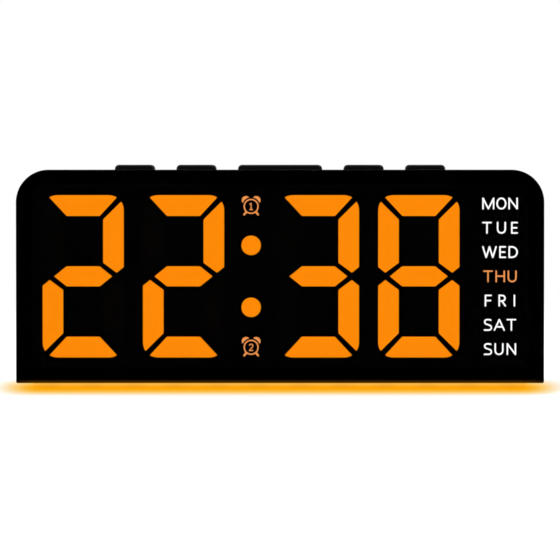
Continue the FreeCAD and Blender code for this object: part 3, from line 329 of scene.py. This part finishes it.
def lens_finish():
    """Dark clear acrylic: faint wipe marks, a sheen that grows with the angle, and the night light's
    orange glow painted along its lower edge."""
    f = Finish("smoked_acrylic")
    wipe = f.noise(9.0, roughness=0.6, stretch=(0.35, 1.0, 1.0))
    # painted glow: emission strongest at the lower edge, weaker near the ends
    near_edge = f.span(f.axis("Z"), z_under / MM, z_under / MM + PAINTED_EDGE_GLOW_RISE, 1.0, 0.0, smooth=False)
    inside_ends = f.span(f.math("ABSOLUTE", f.axis("X")), half_width / MM - PAINTED_EDGE_GLOW_END,
                         half_width / MM, 1.0, PAINTED_EDGE_GLOW_CORNER)
    lit = f.math("MULTIPLY", f.math("POWER", near_edge, 2.0), inside_ends)
    f.principled(Base_Color=(LENS_PASS, LENS_PASS, LENS_PASS + 0.01), IOR=LENS_IOR,
                 Roughness=f.span(wipe, 0.35, 0.75, LENS_ROUGH, 0.035), Transmission_Weight=1.0,
                 Emission_Color=GLOW, Emission_Strength=f.math("MULTIPLY", lit, PAINTED_EDGE_GLOW_FACE))
    f.angled_gloss(0.04, 0.75, 0.8, 0.04)
    return f


def lens_back():
    """The lens's back: clear over the display's window, black screen print round it."""
    f = Finish("lens_back")
    mask_low, mask_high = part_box("light_mask")
    half = (mask_high - mask_low) / 2 / MM
    aside = f.math("ABSOLUTE", f.axis("X"))
    rise = f.math("ABSOLUTE", f.math("SUBTRACT", f.axis("Z"), z_middle / MM))
    over_x = f.math("MAXIMUM", f.math("SUBTRACT", aside, half.x - PRINT_LAP - WINDOW_CORNER), 0.0)
    over_z = f.math("MAXIMUM", f.math("SUBTRACT", rise, half.z - PRINT_LAP - WINDOW_CORNER), 0.0)
    reach = f.math("SQRT", f.math("ADD", f.math("POWER", over_x, 2.0), f.math("POWER", over_z, 2.0)))
    window = f.math("LESS_THAN", reach, WINDOW_CORNER)
    grain = f.noise(0.35)
    tone = f.blend(window, f.shade(PRINT_BLACK, f.math("ADD", grain, 0.5)), WHITE)
    rough = f.blend(window, f.grey(f.span(grain, 0.2, 0.8, 0.5, 0.6)), (LENS_ROUGH,) * 3)
    f.principled(Base_Color=tone, Roughness=rough, Transmission_Weight=window, IOR=LENS_IOR)
    return f


def lens_rim():
    """The lens's polished edge, nearly black, with the night light's glow painted along its lower part."""
    f = Finish("lens_rim")
    wipe = f.noise(2.5, roughness=0.6)
    # painted glow of the night light, fading up from the lower edge
    lit = f.span(f.axis("Z"), z_under / MM - PAINTED_EDGE_GLOW_START, z_under / MM + PAINTED_EDGE_GLOW_RISE, 1.0, 0.0,
                 smooth=False)
    glow = f.math("MULTIPLY", f.math("POWER", lit, 2.0), PAINTED_EDGE_GLOW_RIM)
    f.principled(Base_Color=f.shade(LENS_EDGE, f.math("ADD", wipe, 0.5)),
                 Roughness=f.span(wipe, 0.3, 0.7, 0.10, 0.20), Specular_IOR_Level=0.0,
                 Emission_Color=GLOW, Emission_Strength=glow)
    f.angled_gloss(0.0, 0.6, 0.05, 0.12)
    return f


def lit_window(name, colour, strength, led_pitch=None):
    """Diffuser window that glows; it is a little brighter over its diodes and grained like opal resin."""
    f = Finish(name)
    grain = f.noise(0.5, detail=2.0)
    level = f.math("MULTIPLY_ADD", f.math("SUBTRACT", grain, 0.5), 0.05, strength)
    if led_pitch:
        wave = f.math("COSINE", f.math("MULTIPLY", f.axis("X"), 2 * math.pi / led_pitch))
        level = f.math("MULTIPLY_ADD", wave, 0.04 * strength, level)
    f.principled(Base_Color=f.shade(tuple(c * 0.05 for c in colour), f.math("ADD", grain, 0.5)),
                 Emission_Color=colour, Emission_Strength=level, Normal=f.bump(grain, 0.01),
                 Roughness=0.45, Specular_IOR_Level=0.03)
    return f


# lens
lens_finish().wear(["front_lens"])
second_finish("front_lens", lens_rim().material, lambda polygon: abs(polygon.normal.y) < 0.5)
second_finish("front_lens", lens_back().material, lambda polygon: polygon.normal.y > 0.9)

# mask and adhesive
f = Finish("mask_black")
grain = f.noise(0.35)
f.principled(Base_Color=f.shade(MASK_BLACK, f.math("ADD", grain, 0.5)), Specular_IOR_Level=0.0,
             Roughness=f.span(grain, 0.2, 0.8, 0.8, 0.95), Normal=f.bump(grain, 0.004))
f.wear(["light_mask"])
f = Finish("adhesive_black")
pores = f.cells(0.45)
f.principled(Base_Color=f.shade(TAPE_BLACK, f.span(pores, 0.1, 0.7, 0.6, 1.3)), Roughness=0.9,
             Specular_IOR_Level=0.05, Normal=f.bump(pores, 0.03))
f.wear(["lens_tape"])

# windows: lit ones, dark ones and the diffusers' bodies behind them
digit_lit = lit_window("digit_orange", DIGIT, SCREEN * 0.975).material
legend_orange = lit_window("legend_orange", LEGEND_ORANGE, SCREEN).material
legend_white = lit_window("legend_white", LEGEND_WHITE, SCREEN * 1.05).material
f = Finish("window_off")
grain = f.noise(0.5, detail=2.0)
f.principled(Base_Color=f.shade(WINDOW_OFF, f.math("ADD", grain, 0.5)),
             Roughness=f.span(grain, 0.2, 0.8, 0.5, 0.7), Specular_IOR_Level=0.0)
window_off = f.material
f = Finish("diffuser_body")
grain = f.noise(0.8, detail=2.0)
f.principled(Base_Color=f.shade(DIFFUSER, f.span(grain, 0.2, 0.8, 0.92, 1.06)),
             Roughness=f.span(grain, 0.2, 0.8, 0.4, 0.6))
diffuser_body = f.material


def bar_of(x, z, half_w, half_h):
    """Which bar of a seven-segment digit a point belongs to, measured from the digit's centre."""
    across, up = abs(x), abs(z)
    inner_x = half_w - BAR_WIDE
    inner_z = half_h - BAR_HIGH
    above = up - (inner_z - MITRE_SET) > MITRE_SLOPE * (across - (inner_x - MITRE_SET))
    in_middle = up - MIDDLE_TIP_Z < MIDDLE_SLOPE * (across - MIDDLE_TIP_X)
    if above and up > inner_z - END_BAR_REACH:
        return "a" if z > 0 else "d"
    if in_middle or across < MIDDLE_FLAT:
        return "g"
    if x > 0:
        return "b" if z > 0 else "c"
    return "f" if z > 0 else "e"


def behind_face(name):
    """Tests whether a polygon lies behind a window piece's front face."""
    face_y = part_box(name)[0].y + 0.01 * MM
    return lambda polygon: polygon.center.y > face_y


def dress_digit(number):
    """Gives a digit's windows their lit or dark faces."""
    name = "digit_%d" % number
    low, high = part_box(name)
    centre = (low + high) / 2 / MM
    half = (high - low) / 2 / MM
    is_behind = behind_face(name)
    mesh = nodes[name].data
    mesh.materials.clear()
    for material in (digit_lit, window_off, diffuser_body):
        mesh.materials.append(material)
    for polygon in mesh.polygons:
        place = polygon.center / MM
        if is_behind(polygon):
            polygon.material_index = 2
        elif bar_of(place.x - centre.x, place.z - centre.z, half.x, half.z) in LIT_BARS[number]:
            polygon.material_index = 0
        else:
            polygon.material_index = 1


def dress_windows(names, material):
    """Glow on windows' front faces, plain diffuser behind."""
    for name in names:
        mesh = nodes[name].data
        mesh.materials.clear()
        mesh.materials.append(material)
        second_finish(name, diffuser_body, behind_face(name))


for number in LIT_BARS:
    dress_digit(number)
dress_windows(["colon_dots"], digit_lit)
dress_windows(["alarm_icon_1", "alarm_icon_2", "weekday_thu"], legend_orange)
dress_windows(["weekday_" + day for day in ("mon", "tue", "wed", "fri", "sat", "sun")], legend_white)

# case, keys and feet
moulded("case_black", 0.32, 0.042, 0.50, 0.17, mottle=0.15).wear(["front_case", "rear_cover", "battery_door"])
# key tops lighter than their sides: painted light from above
f = moulded("key_black", 0.16, 0.010, 0.46, 0.02, KEY_BLACK, KEY_TOP_PAINTED_LIGHT)
f.angled_gloss(0.12, 0.80, 0.25, 0.32)
f.wear(["key_set", "key_down", "key_snooze", "key_up", "key_alarm"])
# feet: silicone with the night light's orange glow painted on as emission, stronger towards the front
f = Finish("foot_silicone")
haze = f.noise(0.8)
f.principled(Base_Color=f.shade(SILICONE, f.span(haze, 0.2, 0.8, 0.94, 1.03)), IOR=1.41,
             Roughness=f.span(haze, 0.2, 0.8, 0.28, 0.42), Normal=f.bump(haze, 0.02),
             Transmission_Weight=0.7, Emission_Color=GLOW,
             Emission_Strength=f.span(f.axis("Y"), -7.0, 8.0, 0.55, 0.06))
f.wear(["rubber_feet"])

# night light
strip_low, strip_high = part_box("light_bar_leds")
f = lit_window("night_light", GLOW, BAR_LEVEL, (strip_high.x - strip_low.x) / MM / STRIP_GAPS)
# the bar's emission turns paler towards the case: a painted highlight
painted_highlight_share = f.math("POWER", f.span(f.axis("Z"), BAR_PALE_FROM, BAR_PALE_TO, smooth=False), 2.5)
f.put(f.shader.inputs["Emission Color"], f.blend(painted_highlight_share, GLOW, PAINTED_HIGHLIGHT_AT_CASE))
f.wear(["light_bar"])
second_finish("light_bar", diffuser_body, lambda polygon: polygon.center.z > z_under + BAR_SHOWN * MM)


# ---------------------------------------------------------------- finishes of the inside
def circuit_board(name, mask, copper):
    """Solder mask over copper tracks, with vias whose holes are painted near black as shade; the laminate
    shows its weave faintly.
    """
    f = Finish(name)
    weave = f.math("MULTIPLY", f.math("SINE", f.math("MULTIPLY", f.axis("X"), 9.0)),
                   f.math("SINE", f.math("MULTIPLY", f.axis("Z"), 9.0)))
    zone = f.cells(7.0, output="Color")
    pick = f.math("GREATER_THAN", f.axis("X", zone), 0.5)
    along_x = f.stripes(f.axis("Z"), 1.1, 0.36)
    along_z = f.stripes(f.axis("X"), 1.1, 0.36)
    tracks = f.math("ADD", f.math("MULTIPLY", along_x, pick),
                    f.math("MULTIPLY", along_z, f.math("SUBTRACT", 1.0, pick)))
    dots = f.cells(2.6, randomness=0.7)
    pad = f.math("LESS_THAN", dots, 0.16)
    hole_shade = f.math("LESS_THAN", dots, 0.07)
    colour = f.blend(tracks, mask, copper)
    colour = f.blend(pad, colour, SOLDER)
    # via holes painted near black: painted shade inside the holes
    colour = f.blend(hole_shade, colour, HOLE_SHADE)
    height = f.math("ADD", tracks, f.math("MULTIPLY", weave, 0.08))
    f.principled(Base_Color=colour, Roughness=f.blend(pad, (0.34,) * 3, (0.22,) * 3), Metallic=pad,
                 Normal=f.bump(height, 0.03), Specular_IOR_Level=0.5)
    return f


def plastic(name, colour, size, roughness, depth=0.01):
    """Plain moulded plastic of any colour, with a soft mottle."""
    f = Finish(name)
    fine = f.noise(size)
    f.principled(Base_Color=f.shade(colour, f.span(fine, 0.2, 0.8, 0.92, 1.08)),
                 Roughness=f.span(fine, 0.2, 0.8, roughness - 0.06, roughness + 0.06),
                 Normal=f.bump(fine, depth), Specular_IOR_Level=0.4)
    return f


def metal(name, colour, roughness, grain, stretch=None):
    """Bare or plated metal with fine marks in one direction."""
    f = Finish(name)
    lines = f.noise(grain, detail=4.0, roughness=0.7, stretch=stretch)
    f.principled(Base_Color=f.shade(colour, f.span(lines, 0.25, 0.75, 0.9, 1.05)), Metallic=1.0,
                 Roughness=f.span(lines, 0.25, 0.75, roughness - 0.07, roughness + 0.08),
                 Normal=f.bump(lines, 0.004))
    return f


def cable(node, colour, axis, pitch):
    """Flat cable with a ridge over each core and one red core, with painted shade in the grooves between
    cores; axis runs across it.
    """
    f = Finish("sheath_" + node)
    low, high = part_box(node)
    centre = getattr((low + high) / 2, axis.lower())
    across = f.math("SUBTRACT", f.axis(axis), centre / MM)
    ridge = f.math("COSINE", f.math("MULTIPLY", across, 2 * math.pi / pitch))
    last_core = (getattr(high, axis.lower()) - centre) / MM - pitch
    scuff = f.noise(1.5)
    base = f.blend(f.math("GREATER_THAN", across, last_core), colour, CORE_RED)
    base = f.shade(base, f.span(scuff, 0.2, 0.8, 0.9, 1.08))
    # colour darkened in the grooves between cores: painted shade
    f.principled(Base_Color=f.shade(base, f.span(ridge, -1.0, -0.6, 0.55, 1.0)),
                 Roughness=f.span(scuff, 0.2, 0.8, 0.42, 0.58), Normal=f.bump(ridge, 0.12))
    f.wear([node])


# boards and moulded parts
circuit_board("circuit_board", (0.012, 0.085, 0.035), (0.02, 0.14, 0.055)).wear(
    ["display_pcb", "key_pcb", "power_pcb"])
circuit_board("board_white", (0.70, 0.70, 0.68), (0.78, 0.77, 0.73)).wear(["light_bar_pcb"])
plastic("reflector_white", (0.74, 0.74, 0.72), 0.6, 0.42).wear(["display_reflector"])
plastic("chip_black", (0.016, 0.016, 0.017), 0.12, 0.62, depth=0.012).wear(["driver_chips", "buzzer"])
plastic("connector_white", (0.72, 0.70, 0.62), 0.9, 0.38).wear(["board_connectors"])
plastic("plunger_dark", (0.022, 0.022, 0.024), 0.5, 0.35).wear(
    ["key_switches", "plunger_set", "plunger_down", "plunger_snooze", "plunger_up", "plunger_alarm"])

# diodes: pale bodies with a phosphor face
plastic("led_body", (0.78, 0.77, 0.72), 0.3, 0.35).wear(["display_leds", "light_bar_leds"])
f = Finish("led_phosphor")
grains = f.cells(0.06)
f.principled(Base_Color=f.shade(PHOSPHOR, f.span(grains, 0.0, 0.6, 0.85, 1.1)),
             Roughness=f.span(grains, 0.0, 0.6, 0.3, 0.5), Normal=f.bump(grains, 0.01))
for name, facing in (("display_leds", Vector((0, -1, 0))), ("light_bar_leds", Vector((0, 0, -1)))):
    second_finish(name, f.material, lambda polygon: polygon.normal.dot(facing) > 0.9)

# metal parts
bright = metal("bright_metal", (0.66, 0.65, 0.62), 0.24, 0.25, stretch=(0.15, 1.0, 1.0))
bright.wear(["clock_crystal", "usb_c_socket", "battery_contacts", "battery_springs"])
metal("screw_steel", (0.17, 0.17, 0.18), 0.36, 0.2).wear(
    ["case_screws", "display_screws", "key_pcb_screws", "power_pcb_screws"])

# inlet tongue with its row of gold contacts
f = Finish("inlet_tongue")
tongue_low, tongue_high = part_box("usb_c_tongue")
across = f.math("SUBTRACT", f.axis("X"), (tongue_low.x + tongue_high.x) / 2 / MM)
pads = f.math("MULTIPLY", f.stripes(across, 0.5, 0.5), f.math("LESS_THAN", f.math("ABSOLUTE", across), 3.0))
pads = f.math("MULTIPLY", pads, f.math("GREATER_THAN", f.axis("Y"), tongue_high.y / MM - 3.6))
pads = f.math("MULTIPLY", pads, f.math("LESS_THAN", f.axis("Y"), tongue_high.y / MM - 0.35))
f.principled(Base_Color=f.blend(pads, TONGUE, GOLD), Metallic=pads,
             Roughness=f.span(f.noise(0.3), 0.2, 0.8, 0.3, 0.42))
f.wear(["usb_c_tongue"])

# cells: foil wrap with a band near one end, bare steel ends; the middle one of three lies the other way
CELL_PITCH = 11.2
BAND_EDGE = -11.0
LINE_PLACE = -10.3
LINE_HALF = 0.25
cells_low, cells_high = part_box("backup_cells")
f = Finish("cell_wrap")
row = f.math("ROUND", f.math("DIVIDE", f.math("SUBTRACT", f.axis("Z"), z_middle / MM), CELL_PITCH))
way = f.math("SUBTRACT", 1.0, f.math("MULTIPLY", f.math("ABSOLUTE", row), 2.0))
along = f.math("MULTIPLY", f.math("SUBTRACT", f.axis("X"), (cells_low.x + cells_high.x) / 2 / MM), way)
band = f.math("LESS_THAN", along, BAND_EDGE)
line = f.math("LESS_THAN", f.math("ABSOLUTE", f.math("SUBTRACT", along, LINE_PLACE)), LINE_HALF)
sheen = f.noise(0.5, roughness=0.6, stretch=(0.2, 1.0, 1.0))
colour = f.blend(line, f.blend(band, FOIL_SILVER, FOIL_BLUE), FOIL_LINE)
f.principled(Base_Color=f.shade(colour, f.span(sheen, 0.2, 0.8, 0.88, 1.1)), Metallic=0.55,
             Roughness=f.span(sheen, 0.2, 0.8, 0.26, 0.4), Normal=f.bump(sheen, 0.006))
f.wear(["backup_cells"])
second_finish("backup_cells", bright.material, lambda polygon: abs(polygon.normal.x) > 0.75)

# cables
for node, colour, axis, pitch in (("key_ribbon", SHEATH_GREY, "X", 1.0),
                                  ("power_wires", SHEATH_GREY, "X", 1.25),
                                  ("light_bar_wires", SHEATH_GREY, "X", 1.0),
                                  ("battery_wires", SHEATH_BLACK, "Z", 1.2),
                                  ("buzzer_wires", SHEATH_BLACK, "Z", 1.2)):
    cable(node, colour, axis, pitch)


# ---------------------------------------------------------------- stage
def build_world():
    """Plain soft light; the background itself is white."""
    world = bpy.data.worlds.new("studio")
    scene.world = world
    world.use_nodes = True
    f = Nodes(world.node_tree)
    out = f.node("ShaderNodeOutputWorld")
    soft = f.light("ShaderNodeBackground", WHITE, WORLD_LIGHT)
    white = f.light("ShaderNodeBackground", WHITE, 1.0)
    f.put(out.inputs["Surface"], f.mix(f.background_rays(), soft, white))


def floor_finish():
    """Pale floor, white far away, with a painted pool of the night light's orange light round the clock."""
    f = Finish("floor_pale")
    widening = f.math("MULTIPLY", f.math("SUBTRACT", f.axis("Y"), y_front / MM), PAINTED_POOL_WIDENING)
    aside = f.math("SUBTRACT", f.math("ABSOLUTE", f.axis("X")), widening)
    ends = f.fade(aside, half_width / MM - PAINTED_POOL_SIDE, PAINTED_POOL_SIDE_FADE)
    from_middle = f.math("SUBTRACT", f.axis("Y"), PAINTED_POOL_MIDDLE)
    behind = f.math("MULTIPLY", f.math("MAXIMUM", from_middle, 0.0), PAINTED_POOL_BACK_STRETCH)
    depth = f.fade(f.math("SUBTRACT", f.math("ABSOLUTE", from_middle), behind), 0.0, PAINTED_POOL_REACH)
    painted_pool = f.math("POWER", f.math("MULTIPLY", ends, depth), 2.0)
    levels = [f.math("POWER", f.math("SUBTRACT", 1.0, f.math("MULTIPLY", painted_pool, loss)), DISPLAY_GAMMA)
              for loss in PAINTED_POOL_LOSS]
    painted_pool_tint = f.fed(f.node("ShaderNodeCombineColor"), *levels).outputs[0]
    far = f.span(f.vector("LENGTH", f.mm()), FLOOR_WHITE_FROM, FLOOR_WHITE_TO)

    diffuse = f.node("ShaderNodeBsdfDiffuse")
    f.put(diffuse.inputs["Color"], f.shade(painted_pool_tint, FLOOR_COLOUR))
    lift = f.light("ShaderNodeEmission", painted_pool_tint, f.math("MULTIPLY", f.background_rays(), FLOOR_LIFT))
    pale = f.fed(f.node("ShaderNodeAddShader"), diffuse.outputs[0], lift).outputs[0]
    white = f.light("ShaderNodeEmission", WHITE, f.math("MULTIPLY_ADD", f.background_rays(),
                                                        1.0 - WORLD_LIGHT, WORLD_LIGHT))
    # the pool is painted: the floor's top shows the tint as emission there
    glow = f.light("ShaderNodeEmission", painted_pool_tint, 1.0)
    top = f.mix(f.math("MULTIPLY", painted_pool, 4.0, clamp=True), f.mix(far, pale, white), glow)
    underside = f.node("ShaderNodeBsdfTransparent").outputs[0]
    shown = f.mix(f.node("ShaderNodeNewGeometry").outputs["Backfacing"], top, underside)
    f.put(f.out.inputs["Surface"], shown)
    return f.material


def build_floor():
    half = FLOOR_HALF
    mesh = bpy.data.meshes.new("floor")
    mesh.from_pydata([(-half, -half, 0), (half, -half, 0), (half, half, 0), (-half, half, 0)], [],
                     [(0, 1, 2, 3)])
    floor = bpy.data.objects.new("floor", mesh)
    scene.collection.objects.link(floor)
    mesh.materials.append(floor_finish())


def build_lamp(name, place, size, power):
    data = bpy.data.lights.new(name, "AREA")
    data.shape = "RECTANGLE"
    data.size, data.size_y = size
    data.energy = power
    made = bpy.data.objects.new(name, data)
    made.location = place
    made.rotation_euler = (Vector(LAMP_AIM) - Vector(place)).to_track_quat("-Z", "Y").to_euler()
    scene.collection.objects.link(made)


def build_camera():
    """Camera straight in front, a little below the case's top."""
    eye = Vector((0.0, y_front - CAMERA_DISTANCE, z_top - CAMERA_BELOW_TOP))
    target = Vector((AIM_X, y_front, AIM_Z))
    camera = bpy.data.objects.new("camera", bpy.data.cameras.new("camera"))
    camera.data.sensor_width = SENSOR / MM
    camera.data.lens = SENSOR / MM * (target - eye).length / PICTURE_WIDTH
    camera.location = eye
    camera.rotation_euler = (target - eye).to_track_quat("-Z", "Y").to_euler()
    scene.collection.objects.link(camera)
    scene.camera = camera


build_world()
build_floor()
for name, place, size, power in LAMPS:
    build_lamp(name, place, size, power)
build_camera()
scene.view_settings.view_transform = "Standard"
